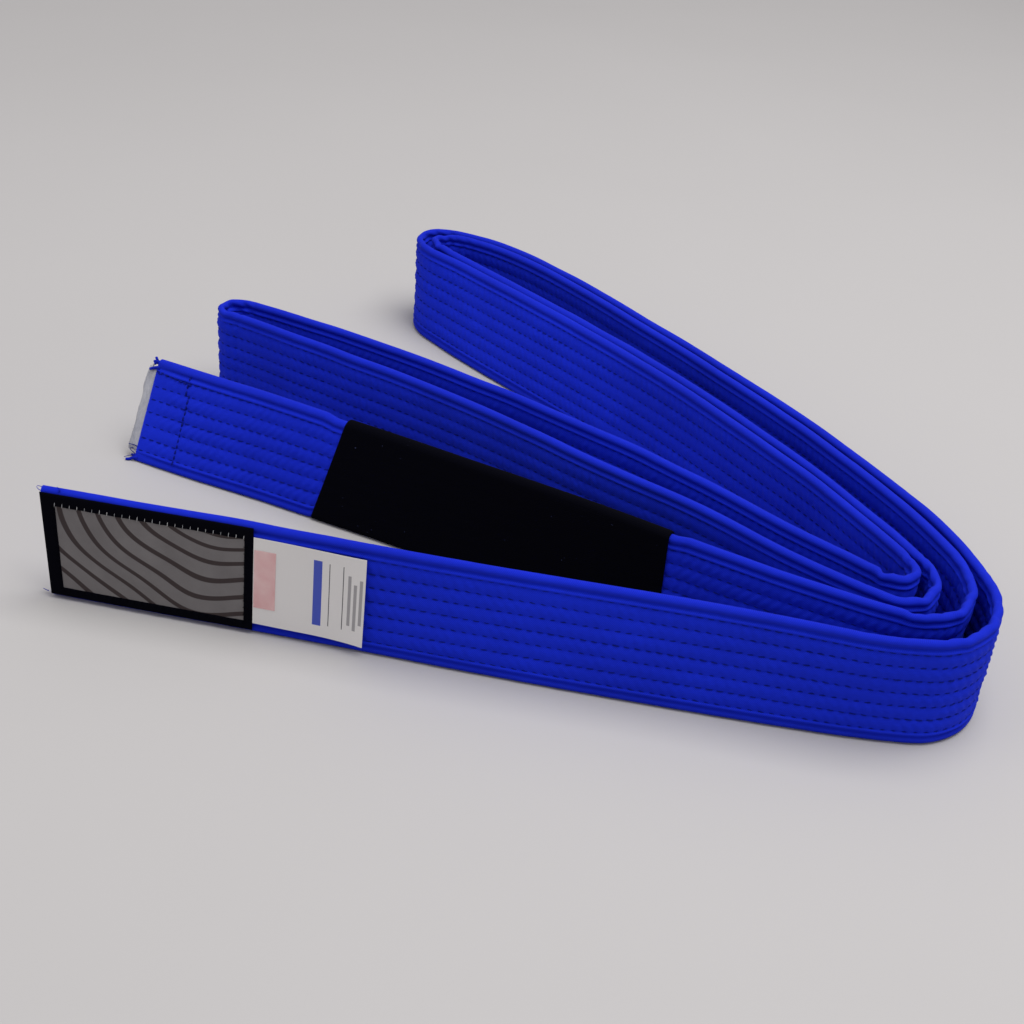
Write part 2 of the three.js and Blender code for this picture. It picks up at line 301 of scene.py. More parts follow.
def face_shape(heights):
    """Half thickness at rest, and how much the nearest pillow and groove count, by height."""
    edge = np.minimum(heights, BELT_WIDTH - heights)
    roll = HEM_HALF * np.sqrt(np.clip(1 - ((edge - HEM_HALF) / HEM_HALF) ** 2, 0, 1))
    fall = GROOVE_HALF + (HEM_HALF - GROOVE_HALF) * (
        0.5 + 0.5 * np.cos(np.pi * np.clip((edge - HEM_HALF) / (HEM_ROLL - HEM_HALF), 0, 1)))
    past = np.clip((edge - HEM_ROLL) / PIPING, 0, 1)
    ridge = 0.72 * np.sin(np.pi * past) + (ROW_HALF - GROOVE_HALF) * past
    half = np.where(edge < HEM_HALF, roll, fall + ridge)
    inside = (heights - EDGE_BAND) / ROW_PITCH
    part = np.clip(inside, 0, ROWS - 1) % 1
    pillow = np.where((inside > 0) & (inside < ROWS - 1), np.sin(np.pi * part) ** 0.85, 0)
    groove = np.exp(-((np.minimum(part, 1 - part) * ROW_PITCH) / 1.1) ** 2)
    groove = np.where((inside > -0.05) & (inside < ROWS - 0.95), groove, 0)
    return half, pillow, groove


def cover_half(distances, heights, side):
    """The cover's half thickness on one face, with its pillows, puckers and crumpled folds."""
    rng = np.random.default_rng(31 if side < 0 else 32)
    half, pillow, groove = face_shape(heights)
    d = distances[:, None]
    wander = np.zeros((len(distances), len(heights)))
    rows = np.clip(((heights - EDGE_BAND) / ROW_PITCH).astype(int), -1, ROWS - 1) + 1
    for row in range(ROWS + 1):
        here = rows == row
        value = 0.6 * smooth_noise(rng, distances, 3.4) + 0.4 * smooth_noise(rng, distances, 13)
        wander[:, here] = value[:, None]
    phase = rows * 0.37
    pucker = np.cos(2 * np.pi * (d / STITCH_SPACING + phase[None, :]))
    result = half[None, :] + PILLOW_HEIGHT * pillow[None, :] * (1 + 0.5 * wander)
    slanted = np.cos(2 * np.pi * (d / STITCH_SPACING + heights[None, :] / ROW_PITCH * 0.9))
    result = result + PUCKER_DEPTH * pillow[None, :] * slanted * (1 + wander)
    result = result - STITCH_PULL * groove[None, :] * (1 + pucker)
    roll = (heights < HEM_ROLL) | (heights > BELT_WIDTH - HEM_ROLL)
    result = result * (1 + 0.05 * wander * roll[None, :])
    # The rows flatten towards the cut edge
    flat = np.clip((belt.length - distances) / FLAT_END_LENGTH, 0, 1)[:, None]
    calm = 1.3 + 0.10 * (half[None, :] - 1.3)
    result = np.where(half[None, :] < 0.8, result, calm + (result - calm) * (0.1 + 0.9 * flat))
    # Cloth crumples on the inside of a fold
    _, _, _, bend = belt.read(distances)
    inner = np.clip(bend * side * 24 - 0.15, 0, 1)[:, None]
    slant = 0.16 * (heights[None, :] - 20) * np.sin(heights[None, :] * 0.45 + d * 0.05)
    crumple = 0.5 + 0.5 * np.sin(2 * np.pi * (d + slant) / 6.4 + 2.2 * wander)
    result = result * (1 - 0.46 * inner * crumple)
    grip = bar_grip(distances)[:, None]
    pressed = np.minimum(result, BAR_INSIDE_HALF - 0.2) * grip + result * (1 - grip)
    return np.where(grip > 0, pressed, result)


def bar_grip(distances):
    """1 where the rank bar holds the belt, 0 away from it."""
    start = np.clip((distances - BAR_START + 6) / 5, 0, 1)
    end = np.clip((BAR_END + 6 - distances) / 5, 0, 1)
    return start * end


def pinched(distances, heights):
    """Heights pressed in a little at both hems inside the rank bar."""
    grip = bar_grip(distances)[:, None]
    middle = BELT_WIDTH / 2
    return middle + (heights[None, :] - middle) * (1 - BAR_PINCH / middle * grip)


def end_slant(along, up):
    """The label end is cut a little slanted: its lower corner is further in."""
    return along + END_SLANT * (1 - up / BELT_WIDTH) * np.clip(1 - along / 60, 0, 1)


def cover_length(name, start, end):
    """One stretch of the cover, a closed quilted tube."""
    count = int((end - start) / SECTION_STEP)
    distances = np.linspace(start, end, count + 1)
    right, left = cover_half(distances, HEIGHTS, -1), cover_half(distances, HEIGHTS, 1)
    up = pinched(distances, HEIGHTS)
    wave = 0.22 * smooth_noise(np.random.default_rng(7), distances, 17)[:, None]
    sway = wave * (HEIGHTS[None, :] / BELT_WIDTH) ** 2
    _, _, _, bend = belt.read(distances)
    kinks = smooth_noise(np.random.default_rng(19), distances, 4.6)
    buckle = np.clip(np.abs(bend) * 26 - 0.2, 0, 1) * np.sign(bend) * kinks
    sway = sway + 0.95 * buckle[:, None] * (HEIGHTS[None, :] / BELT_WIDTH) ** 8
    up = up - 0.7 * (np.abs(buckle) ** 1.5)[:, None] * (HEIGHTS[None, :] / BELT_WIDTH) ** 8
    across = np.concatenate([sway - right, (sway + left)[:, -2:0:-1]], axis=1)
    heights = np.concatenate([up, up[:, -2:0:-1]], axis=1)
    vertices = belt.place(end_slant(distances[:, None], heights), across, heights)
    around = across.shape[1]
    faces = tube_faces(len(distances), around)
    girth = np.concatenate([HEIGHTS, 2 * BELT_WIDTH - HEIGHTS[-2::-1]])
    uvs = tube_uvs(distances, girth)
    top = len(HEIGHTS) - 1
    caps, cap_uvs = [], []
    vertices = vertices.reshape(-1, 3)
    last = len(vertices) - around
    ends = np.zeros(len(vertices), int)
    ends[:around], ends[last:] = 1, 2
    for which, first in ((0, 0), (1, last)):
        for j in range(top):
            other, other_next = (around - j) % around, around - j - 1
            if j == 0:
                corner = [0, 1, around - 1]
            elif j == top - 1:
                corner = [j, top, other]
            else:
                corner = [j, j + 1, other_next, other]
            if which:
                corner = corner[::-1]
            caps.append([first + c for c in corner])
            cap_uvs += [(across[0][c] * MM, heights[0][c] * MM) for c in corner]
    faces = [list(f) for f in faces] + caps
    uvs = np.concatenate([uvs, np.array(cap_uvs)])
    return new_piece(name, vertices, faces, uvs, sharp_vertices=ends)


def padding_length(name, start, end):
    """One stretch of the padding strip inside the cover."""
    distances = np.linspace(start, end, int((end - start) / 2.5) + 1)
    side = np.array([-1, -1, -1, -1, 1, 1, 1, 1]) * PADDING_HALF
    near_face = [PADDING_LOW, PADDING_LOW + 1.3, PADDING_HIGH - 1.3, PADDING_HIGH]
    up = np.array(near_face + near_face[::-1])
    side[[0, 3, 4, 7]] *= 0.6
    vertices = belt.place(end_slant(distances[:, None], up), side, up)
    faces = [list(f) for f in tube_faces(len(distances), 8)]
    last = (len(distances) - 1) * 8
    faces += [[0, 1, 2, 3, 4, 5, 6, 7], [last + j for j in range(7, -1, -1)]]
    return new_piece(name, vertices, faces)


def ribbon(name, distance_at, across_near, across_far, up_at, columns, rows):
    """A thin closed sheet over (0..1, 0..1), its UVs in metres along and up."""
    a, b = np.meshgrid(np.linspace(0, 1, columns + 1), np.linspace(0, 1, rows + 1), indexing="ij")
    distance, up = distance_at(a, b), up_at(a, b)
    outer = belt.place(distance, -across_far(a, b), up).reshape(-1, 3)
    inner = belt.place(distance, -across_near(a, b), up).reshape(-1, 3)
    stride, count = rows + 1, (columns + 1) * (rows + 1)
    faces = []
    for i in range(columns):
        for j in range(rows):
            p = i * stride + j
            faces.append([p, p + stride, p + stride + 1, p + 1])
            faces.append([count + p, count + p + 1, count + p + stride + 1, count + p + stride])
    rim = ([i * stride for i in range(columns)]
           + [columns * stride + j for j in range(rows)]
           + [i * stride + rows for i in range(columns, 0, -1)]
           + [j for j in range(rows, 0, -1)])
    for p, q in zip(rim, rim[1:] + rim[:1]):
        faces.append([q, p, count + p, count + q])
    flat = np.stack([distance.ravel() * MM, up.ravel() * MM], axis=1)
    flat = np.concatenate([flat, flat])
    uvs = np.concatenate([flat[f] for f in faces])
    piece = new_piece(name, np.concatenate([outer, inner]), faces, uvs)
    piece.data.set_sharp_from_angle(angle=math.radians(50))
    return piece


def thread(name, points, radius, sides=6):
    """A thread along points in metres, tapering a little to its tip."""
    points = [Vector(p) for p in points]
    path = []
    for a, b, c, d in zip([points[0]] + points, points, points[1:], points[2:] + [points[-1]]):
        for i in range(5):
            t = i / 5
            path.append(0.5 * ((2 * b) + (c - a) * t + (2 * a - 5 * b + 4 * c - d) * t * t
                               + (3 * b - a - 3 * c + d) * t ** 3))
    path.append(points[-1])
    vertices = []
    for i, p in enumerate(path):
        ahead = (path[min(i + 1, len(path) - 1)] - path[max(i - 1, 0)]).normalized()
        side = ahead.orthogonal().normalized()
        over = ahead.cross(side)
        size = radius * (1 - 0.4 * i / len(path))
        for k in range(sides):
            turn = 2 * math.pi * k / sides
            vertices.append(p + side * (size * math.cos(turn)) + over * (size * math.sin(turn)))
    rings = len(path)
    faces = [[i * sides + j, i * sides + (j + 1) % sides, (i + 1) * sides + (j + 1) % sides,
              (i + 1) * sides + j] for i in range(rings - 1) for j in range(sides)]
    faces.append(list(range(sides))[::-1])
    faces.append([(rings - 1) * sides + j for j in range(sides)])
    return new_piece(name, np.array([tuple(v) for v in vertices]), faces)


def join(name, parts):
    """Several meshes as one piece."""
    vertices, faces, offset = [], [], 0
    for part in parts:
        vertices += [tuple(v.co) for v in part.data.vertices]
        faces += [[offset + v for v in polygon.vertices] for polygon in part.data.polygons]
        offset = len(vertices)
        bpy.data.objects.remove(part)
    return new_piece(name, np.array(vertices), faces)


# ======== Stitches, laid along their seams by a geometry tree ========

def stitch_tree():
    tree = bpy.data.node_groups.new("Stitches Along Seams", "GeometryNodeTree")
    face = tree.interface
    face.new_socket("Seams", in_out="INPUT", socket_type="NodeSocketGeometry")
    sizes = {}
    for name, kind in (("Spacing", "NodeSocketFloat"), ("Stitch Length", "NodeSocketFloat"),
                       ("Thread Width", "NodeSocketFloat"), ("Seed", "NodeSocketInt"),
                       ("Thread", "NodeSocketMaterial")):
        sizes[name] = face.new_socket(name, in_out="INPUT", socket_type=kind).identifier
    face.new_socket("Stitches", in_out="OUTPUT", socket_type="NodeSocketGeometry")
    node, link = tree.nodes.new, tree.links.new
    source, out = node("NodeGroupInput"), node("NodeGroupOutput")
    lines = node("GeometryNodeMeshToCurve")
    spaced = node("GeometryNodeResampleCurve")
    spaced.mode = "LENGTH"
    link(source.outputs["Seams"], lines.inputs["Mesh"])
    link(lines.outputs["Curve"], spaced.inputs["Curve"])
    link(source.outputs["Spacing"], spaced.inputs["Length"])
    bead = node("GeometryNodeMeshUVSphere")
    bead.inputs["Segments"].default_value = 6
    bead.inputs["Rings"].default_value = 4
    bead.inputs["Radius"].default_value = 0.5
    upright = node("GeometryNodeTransform")
    upright.inputs["Rotation"].default_value = (0, math.pi / 2, 0)
    link(bead.outputs["Mesh"], upright.inputs["Geometry"])
    size = node("ShaderNodeCombineXYZ")
    link(source.outputs["Stitch Length"], size.inputs["X"])
    link(source.outputs["Thread Width"], size.inputs["Y"])
    link(source.outputs["Thread Width"], size.inputs["Z"])
    lie = node("GeometryNodeInputNamedAttribute")
    lie.data_type = "FLOAT_VECTOR"
    lie.inputs["Name"].default_value = "lie"
    turn = node("FunctionNodeAlignRotationToVector")
    turn.axis = "X"
    link(lie.outputs["Attribute"], turn.inputs["Vector"])
    vary = node("FunctionNodeRandomValue")
    vary.data_type = "FLOAT"
    vary.inputs[2].default_value = 0.82
    vary.inputs[3].default_value = 1.12
    link(source.outputs["Seed"], vary.inputs["Seed"])
    scale = node("ShaderNodeVectorMath")
    scale.operation = "SCALE"
    link(size.outputs["Vector"], scale.inputs[0])
    link(vary.outputs[1], scale.inputs["Scale"])
    laid = node("GeometryNodeInstanceOnPoints")
    link(spaced.outputs["Curve"], laid.inputs["Points"])
    link(upright.outputs["Geometry"], laid.inputs["Instance"])
    link(turn.outputs["Rotation"], laid.inputs["Rotation"])
    link(scale.outputs["Vector"], laid.inputs["Scale"])
    real = node("GeometryNodeRealizeInstances")
    soft = node("GeometryNodeSetShadeSmooth")
    dyed = node("GeometryNodeSetMaterial")
    link(laid.outputs["Instances"], real.inputs["Geometry"])
    link(real.outputs["Geometry"], soft.inputs["Geometry"])
    link(soft.outputs["Geometry"], dyed.inputs["Geometry"])
    link(source.outputs["Thread"], dyed.inputs["Material"])
    link(dyed.outputs["Geometry"], out.inputs["Stitches"])
    return tree, sizes


STITCH_TREE, STITCH_INPUTS = stitch_tree()


def sew(name, seams, material, spacing, length, width, seed):
    """Stitches along seams. A seam is its points in metres and the way its stitches lie."""
    mesh = bpy.data.meshes.new(name + "_seams")
    vertices, edges, lies, offset = [], [], [], 0
    for points, lie in seams:
        vertices += [tuple(p) for p in points]
        edges += [(offset + i, offset + i + 1) for i in range(len(points) - 1)]
        lies += [tuple(v) for v in lie]
        offset = len(vertices)
    mesh.from_pydata(vertices, edges, [])
    layer = mesh.attributes.new("lie", "FLOAT_VECTOR", "POINT")
    layer.data.foreach_set("vector", np.array(lies, np.float32).ravel())
    guide = bpy.data.objects.new(name + "_seams", mesh)
    bpy.context.scene.collection.objects.link(guide)
    modifier = guide.modifiers.new("stitches", "NODES")
    modifier.node_group = STITCH_TREE
    for key, value in (("Spacing", spacing * MM), ("Stitch Length", length * MM),
                       ("Thread Width", width * MM), ("Seed", seed), ("Thread", material)):
        modifier[STITCH_INPUTS[key]] = value
    bpy.context.view_layer.update()
    made = bpy.data.meshes.new_from_object(guide.evaluated_get(bpy.context.evaluated_depsgraph_get()))
    guide.modifiers.remove(modifier)
    bpy.data.objects.remove(guide)
    made.name = name
    piece = bpy.data.objects.new(name, made)
    bpy.context.scene.collection.objects.link(piece)
    return piece


def seam_along(distances, across, up):
    """A seam's points, and its stitches lying along it."""
    points = belt.place(distances, across, up)
    lie = np.gradient(points, axis=0)
    return points, lie / np.linalg.norm(lie, axis=1)[:, None]


def half_at(distances, ups, side):
    """The cover's half thickness at single spots on one face."""
    return np.array([cover_half(np.array([d]), np.array([u]), side)[0, 0]
                     for d, u in zip(distances, ups)])


def row_seams(start, end):
    """The seven rows of one stretch, on both faces, left out under the rank bar and the label."""
    seams = []
    distances = np.arange(start, end, 1.2)
    for side in (-1, 1):
        half = cover_half(distances, np.array(ROW_HEIGHTS), side) + 0.02
        up = pinched(distances, np.array(ROW_HEIGHTS))
        for k in range(ROWS):
            shown = (distances < BAR_START - 1) | (distances > BAR_END + 1)
            if side < 0:
                shown &= distances > LABEL_LENGTH + 1
            for part in np.split(np.arange(len(distances)), np.flatnonzero(np.diff(shown)) + 1):
                if len(part) > 3 and shown[part[0]]:
                    seams.append(seam_along(distances[part], side * half[part, k], up[part, k]))
    return seams


# ======== Materials ========

class Finish:
    """A node material with short calls for the nodes used here."""

    def __init__(self, name):
        self.material = bpy.data.materials.new(name)
        self.material.use_nodes = True
        self.nodes = self.material.node_tree.nodes
        self.link = self.material.node_tree.links.new
        self.shader = self.nodes["Principled BSDF"]

    def set(self, **values):
        for key, value in values.items():
            self.shader.inputs[key.replace("_", " ")].default_value = value
        return self

    def place(self, source="UV", scale=(1, 1, 1), turn=0.0):
        where = self.nodes.new("ShaderNodeTexCoord")
        mapping = self.nodes.new("ShaderNodeMapping")
        mapping.inputs["Scale"].default_value = scale
        mapping.inputs["Rotation"].default_value = (0, 0, turn)
        self.link(where.outputs[source], mapping.inputs["Vector"])
        return mapping.outputs["Vector"]

    def bands(self, vector, scale, distortion=0.0):
        wave = self.nodes.new("ShaderNodeTexWave")
        wave.inputs["Scale"].default_value = scale
        wave.inputs["Distortion"].default_value = distortion
        wave.inputs["Detail"].default_value = 1
        self.link(vector, wave.inputs["Vector"])
        return wave.outputs["Fac"]

    def noise(self, vector, scale, detail=3.0, roughness=0.5):
        noise = self.nodes.new("ShaderNodeTexNoise")
        noise.inputs["Scale"].default_value = scale
        noise.inputs["Detail"].default_value = detail
        noise.inputs["Roughness"].default_value = roughness
        self.link(vector, noise.inputs["Vector"])
        return noise.outputs["Fac"]

    def math(self, operation, a, b=None, c=None):
        node = self.nodes.new("ShaderNodeMath")
        node.operation = operation
        for socket, value in zip(node.inputs, (a, b, c)):
            if value is None:
                continue
            if isinstance(value, (int, float)):
                socket.default_value = value
            else:
                self.link(value, socket)
        return node.outputs[0]

    def ramp(self, value, stops):
        node = self.nodes.new("ShaderNodeValToRGB")
        ramp = node.color_ramp
        while len(ramp.elements) < len(stops):
            ramp.elements.new(0.5)
        for element, (position, colour) in zip(ramp.elements, stops):
            element.position = position
            element.color = (*colour, 1)
        self.link(value, node.inputs["Fac"])
        return node.outputs["Color"]

    def mix(self, factor, a, b):
        node = self.nodes.new("ShaderNodeMix")
        node.data_type = "RGBA"
        self.link(factor, node.inputs["Factor"])
        for socket, value in ((node.inputs["A"], a), (node.inputs["B"], b)):
            if isinstance(value, tuple):
                socket.default_value = (*value, 1)
            else:
                self.link(value, socket)
        return node.outputs["Result"]

    def colour(self, value):
        self.link(value, self.shader.inputs["Base Color"])
        return self

    def bump(self, height, distance, strength=1.0):
        node = self.nodes.new("ShaderNodeBump")
        node.inputs["Distance"].default_value = distance * MM
        node.inputs["Strength"].default_value = strength
        self.link(height, node.inputs["Height"])
        self.link(node.outputs["Normal"], self.shader.inputs["Normal"])
        return self


def band_scale(pitch):
    """The wave texture's scale for one band every pitch millimetres of cloth."""
    return 0.314 / (pitch * MM)


def twill(f, pitch, turn):
    """Ribs at a slant over the crossing thread, from 0 to 1."""
    ribs = f.bands(f.place(turn=turn), band_scale(pitch), 0.6)
    cross = f.bands(f.place(turn=turn + math.pi / 2), band_scale(pitch * 0.62), 0.4)
    return f.math("ADD", f.math("MULTIPLY", ribs, 0.5), f.math("MULTIPLY", cross, 0.3))


def plain_weave(f, pitch):
    """Square crossings of two fine threads."""
    return f.math("MULTIPLY", f.bands(f.place(), band_scale(pitch)),
                  f.bands(f.place(turn=math.pi / 2), band_scale(pitch)))


def blue_cotton():
    f = Finish("blue cotton twill").set(
        Roughness=0.85, Sheen_Weight=0.04, Sheen_Roughness=0.4, Specular_IOR_Level=0.10)
    f.shader.inputs["Sheen Tint"].default_value = (0.12, 0.22, 1, 1)
    weave = twill(f, 0.5, 0.62)
    fading = f.noise(f.place("Object"), 26, 4, 0.6)
    slubs = f.noise(f.place(scale=(1, 6, 1)), 380, 3, 0.6)
    shade = f.math("ADD", f.math("MULTIPLY", weave, 0.45),
                   f.math("ADD", f.math("MULTIPLY", fading, 0.35), f.math("MULTIPLY", slubs, 0.2)))
    dyed = f.ramp(shade, [
        (0.15, (0.0035, 0.012, 0.33)), (0.45, (0.0055, 0.020, 0.54)), (0.8, (0.009, 0.035, 0.78))])
    # Painted shade: the base colour is darker on the rolled hems, to hold down how bright the overhead
    # light makes them
    girth = f.nodes.new("ShaderNodeSeparateXYZ")
    f.link(f.place(), girth.inputs["Vector"])
    from_hem = f.math("PINGPONG", girth.outputs["Y"], BELT_WIDTH / 2 * MM)
    hem = f.math("LESS_THAN", from_hem, HEM_ROLL * 0.9 * MM)
    f.colour(f.mix(f.math("MULTIPLY", hem, 0.30), dyed, (0.002, 0.006, 0.22)))
    height = f.math("ADD", f.math("MULTIPLY", weave, 0.7), f.math("MULTIPLY", slubs, 0.6))
    return f.bump(height, 0.12, 0.45).material


def sewing_thread(name, dark, light, **gloss):
    f = Finish(name).set(**gloss)
    twist = f.bands(f.place("Object", turn=0.7), 900, 1.0)
    f.colour(f.ramp(twist, [(0, dark), (1, light)]))
    return f.bump(twist, 0.05).material


def black_cotton(name, lint):
    f = Finish(name).set(Roughness=0.95, Specular_IOR_Level=0.04)
    weave = twill(f, 0.7, 0.8)
    specks = f.noise(f.place("Object"), 900, 1, 0.5)
    dust = f.math("GREATER_THAN", specks, 0.80 if lint else 0.9)
    base = f.ramp(weave, [(0.1, (0.0005, 0.0005, 0.0018)), (0.9, (0.0018, 0.0018, 0.005))])
    f.colour(f.mix(dust, base, (0.05, 0.06, 0.12)))
    return f.bump(weave, 0.10, 0.5).material


def grey_label():
    """Woven patch: grey ground with dark contour lines that wander."""
    f = Finish("grey woven label").set(Roughness=0.62, Sheen_Weight=0.08, Specular_IOR_Level=0.35)
    hills = f.nodes.new("ShaderNodeTexWave")
    hills.wave_type = "RINGS"
    hills.rings_direction = "Z"
    hills.inputs["Scale"].default_value = band_scale(5.4)
    hills.inputs["Distortion"].default_value = 11
    hills.inputs["Detail"].default_value = 0.6
    hills.inputs["Detail Scale"].default_value = 0.42
    where = f.place(scale=(0.8, 1, 1))
    where.node.inputs["Location"].default_value = (-0.052, -0.046, 0)
    f.link(where, hills.inputs["Vector"])
    ground = f.noise(f.place(), 60, 4, 0.6)
    threads = plain_weave(f, 0.32)
    grey = f.ramp(f.math("ADD", f.math("MULTIPLY", threads, 0.4), f.math("MULTIPLY", ground, 0.6)),
                  [(0.2, (0.105, 0.096, 0.100)), (0.8, (0.195, 0.182, 0.186))])
    line = f.ramp(hills.outputs["Fac"], [(0.80, (0, 0, 0)), (0.87, (1, 1, 1))])
    f.colour(f.mix(line, grey, (0.022, 0.012, 0.013)))
    height = f.math("ADD", f.math("MULTIPLY", threads, 0.5), f.math("MULTIPLY", line, 0.9))
    return f.bump(height, 0.10, 0.6).material


def white_tag():
    """Printed satin tag: a plain ground with blank bars in place of any print."""
    f = Finish("white satin tag").set(Roughness=0.5, Sheen_Weight=0.1)
    where = f.nodes.new("ShaderNodeSeparateXYZ")
    f.link(f.place(), where.inputs["Vector"])
    along, up = where.outputs["X"], where.outputs["Y"]

    def bar(middle, width, low, high):
        near = f.math("COMPARE", along, (TAG_START + middle) * MM, width * MM / 2)
        tall = f.math("COMPARE", up, (low + high) / 2 * MM, (high - low) / 2 * MM)
        return f.math("MULTIPLY", near, tall)

    threads = plain_weave(f, 0.3)
    ground = f.ramp(threads, [(0, (0.62, 0.60, 0.60)), (1, (0.76, 0.74, 0.74))])
    rules = f.math("ADD", bar(26.6, 0.3, 9, 33), bar(31.4, 0.3, 9, 33))
    greys = f.math("ADD", bar(33.6, 1.1, 11, 30), bar(35.6, 1.1, 9.5, 27))
    greys = f.math("ADD", greys, bar(37.6, 1.1, 12, 29))
    blue = bar(22.5, 3.0, 8.5, 33.5)
    colour = f.mix(f.math("MINIMUM", rules, 1), ground, (0.05, 0.05, 0.06))
    colour = f.mix(f.math("MINIMUM", greys, 1), colour, (0.30, 0.29, 0.30))
    colour = f.mix(blue, colour, (0.03, 0.06, 0.42))
    f.colour(colour)
    return f.bump(threads, 0.04, 0.4).material


def pink_film():
    f = Finish("pale pink film").set(
        Roughness=0.22, Alpha=0.62, Coat_Weight=0.3, Coat_Roughness=0.15, Specular_IOR_Level=0.5)
    cloud = f.noise(f.place("Object"), 160, 3, 0.5)
    f.colour(f.ramp(cloud, [(0.3, (0.80, 0.46, 0.47)), (0.7, (0.88, 0.62, 0.62))]))
    return f.bump(cloud, 0.05, 0.3).material


def white_padding():
    f = Finish("white padding cloth").set(Roughness=0.95, Sheen_Weight=0.3, Specular_IOR_Level=0.15)
    fibres = f.noise(f.place("Object", scale=(1, 1, 0.35)), 900, 4, 0.7)
    stains = f.noise(f.place("Object"), 90, 3, 0.5)
    f.colour(f.ramp(f.math("ADD", f.math("MULTIPLY", fibres, 0.5), f.math("MULTIPLY", stains, 0.5)),
                    [(0.3, (0.26, 0.27, 0.32)), (0.7, (0.48, 0.48, 0.52))]))
    return f.bump(fibres, 0.25, 0.8).material


def pale_floor():
    f = Finish("pale floor").set(Roughness=0.75, Specular_IOR_Level=0.2)
    grain = f.noise(f.place("Object"), 3, 4, 0.5)
    f.colour(f.ramp(grain, [(0.2, (0.425, 0.412, 0.412)), (0.8, (0.445, 0.432, 0.432))]))
    return f.material


BLUE = blue_cotton()
NAVY = sewing_thread("navy sewing thread", (0.002, 0.006, 0.13), (0.004, 0.012, 0.24),
                     Roughness=0.8, Specular_IOR_Level=0.08)
WHITE_THREAD = sewing_thread("white sewing thread", (0.22, 0.23, 0.25), (0.48, 0.48, 0.49),
                             Roughness=0.6, Sheen_Weight=0.2)
BAR_BLACK = black_cotton("black rank bar cotton", True)
BORDER_BLACK = black_cotton("black label tape", False)
GREY = grey_label()
TAG_WHITE = white_tag()
PINK = pink_film()
PADDING = white_padding()


def finish_piece(piece, material):
    piece.data.materials.clear()
    piece.data.materials.append(material)
    return piece


# ======== The belt, in five lengths that meet at the crowns of the nested folds ========

def spot(x, y):
    return ((x - MIDDLE[0]) * MM, (y - MIDDLE[1]) * MM, BELT_WIDTH / 2 * MM)


CROWN_OUTER = belt.distance("fold_outer", 6)
CROWN_INNER = belt.distance("fold_inner", 2)
CROWN_THIRD = belt.distance("fold_third", 4)
CROWN_SECOND = belt.distance("fold_second", 3)

LENGTHS = [
    # name, from, to, the body this length would swing with, where that swing would start and end,
    # solids it stands for
    ("label_length", 0, CROWN_OUTER, "label_run", spot(122, -139), spot(100, -139),
     ["label_run", "fold_outer"]),
    ("outer_loop_length", CROWN_OUTER, CROWN_INNER, "far_loop", spot(145, -87), spot(129, -67),
     ["back_run", "far_fold_outer", "far_front_run", "fold_inner"]),
    ("middle_loop_length", CROWN_INNER, CROWN_THIRD, "middle_loop", spot(118, -102), spot(101, -93.5),
     ["middle_back_run", "middle_fold", "middle_front_run", "fold_third"]),
    ("inner_loop_length", CROWN_THIRD, CROWN_SECOND, "far_loop", spot(145, -87), spot(129, -67),
     ["far_inner_front_run", "far_fold_inner", "far_inner_back_run", "fold_second"]),
    ("bar_length", CROWN_SECOND, belt.length, "bar_run", spot(127, -123), spot(106, -117),
     ["bar_run"]),
]


def swing(piece):
    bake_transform(piece)


for number, (name, start, end, body, near, far, stretches) in enumerate(LENGTHS):
    cover = finish_piece(cover_length("cover_" + name, start, end), BLUE)
    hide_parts(*["cover_" + s for s in stretches])
    swing(cover)
    core_start = start + (PADDING_SLACK if body == "label_run" else 0)
    core_end = end - (PADDING_TUCK if body == "bar_run" else 0)
    core = finish_piece(padding_length("padding_" + name, core_start, core_end),
                        PADDING)
    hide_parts(*["core_" + s for s in stretches])
    swing(core)
    rows = sew("stitches_" + name, row_seams(start + 1, end - 1), NAVY,
               STITCH_SPACING, STITCH_LENGTH, THREAD_WIDTH, 11 + number)
    swing(rows)

# ---- The raw end: padding, the cross row and loose threads ----

def padding_end():
    """The padding's torn end, standing out of the cover."""
    rng = np.random.default_rng(5)
    steps = 36
    ups = np.concatenate([np.linspace(TORN_LOW, TORN_HIGH, steps),
                          np.linspace(TORN_HIGH, TORN_LOW, steps)])
    side = np.concatenate([-np.ones(steps), np.ones(steps)])
    edge = np.minimum(ups - TORN_LOW, TORN_HIGH - ups)
    half = np.clip(edge / 1.2, 0.25, 1)
    tear = 0.4 * np.interp(ups, np.linspace(3, 39, 13), rng.uniform(-1, 0.6, 13))
    rings = []
    for out in (-5, -2, 0, 1.2, 2.4, 3.5, CORE_OVERHANG):
        ragged = out + tear * max(out, 0) / CORE_OVERHANG
        swell = 1 + 0.12 * rng.uniform(-1, 1, len(ups)) * (out > 0)
        thick = 0.5 if out < 0 else 0.9
        rings.append(belt.place(belt.length + ragged, side * half * thick * swell, ups))
    around = len(ups)
    faces = [list(f) for f in tube_faces(len(rings), around)]
    last = (len(rings) - 1) * around
    for a in range(steps - 1):
        b = around - 1 - a
        faces.append([last + b, last + b - 1, last + a + 1, last + a])
        faces.append([a, a + 1, b - 1, b])
    return new_piece("padding_end", np.concatenate(rings), faces)


padding = finish_piece(padding_end(), PADDING)
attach(padding, "bar_run")

cross_distance = belt.length - CROSS_ROW_FROM_END
low_ups = np.linspace(4.5, 31.5, 20)
high_ups = np.linspace(32.5, 38.0, 5)
cross_seams = []
for side in (-1, 1):
    for ups, shift in ((low_ups, 0.0), (high_ups, 1.6)):
        where = np.full(len(ups), cross_distance + shift)
        cross_seams.append(seam_along(where, side * (half_at(where, ups, side) + 0.05), ups))
